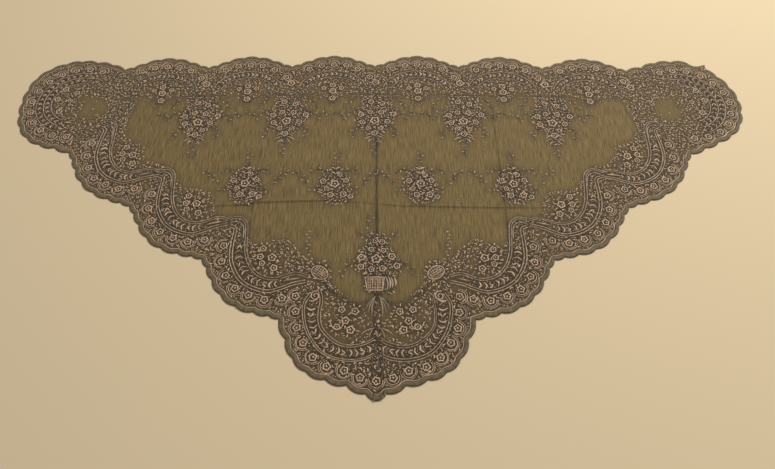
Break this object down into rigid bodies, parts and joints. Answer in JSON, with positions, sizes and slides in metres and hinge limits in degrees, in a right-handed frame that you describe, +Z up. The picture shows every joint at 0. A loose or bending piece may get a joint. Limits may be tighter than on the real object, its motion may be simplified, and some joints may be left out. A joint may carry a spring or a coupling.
{
  "type": "triangular mantilla",
  "caption": "Triangular lace mantilla lying flat: a net ground with sprays of flowers inside wide scalloped lace borders.",
  "frame": {"origin": "middle of the cloth's box, on the surface that it lies on", "axes": "+X along the long straight side to the viewer's right, +Y from the point towards the long side, +Z up off the surface"},
  "size_m": [1.4196, 0.7089, 0.0056],
  "materials": {
    "net": "fine matt tulle net, olive brown, partly see-through",
    "lace": "densely embroidered lace, taupe thread with a low sheen over an olive brown ground",
    "embroidery": "raised taupe thread embroidery with a low sheen"
  },
  "bodies": {
    "root": {"net_ground": "net", "border_top": "lace", "border_tip_left": "lace", "border_tip_right": "lace", "border_side_left": "lace", "border_side_right": "lace", "border_point": "lace", "spray_1": "embroidery", "spray_2": "embroidery", "spray_3": "embroidery", "spray_4": "embroidery", "spray_5": "embroidery", "spray_centre": "embroidery", "sprig_1": "embroidery", "sprig_2": "embroidery", "sprig_3": "embroidery", "sprig_4": "embroidery"}
  },
  "joints": []
}
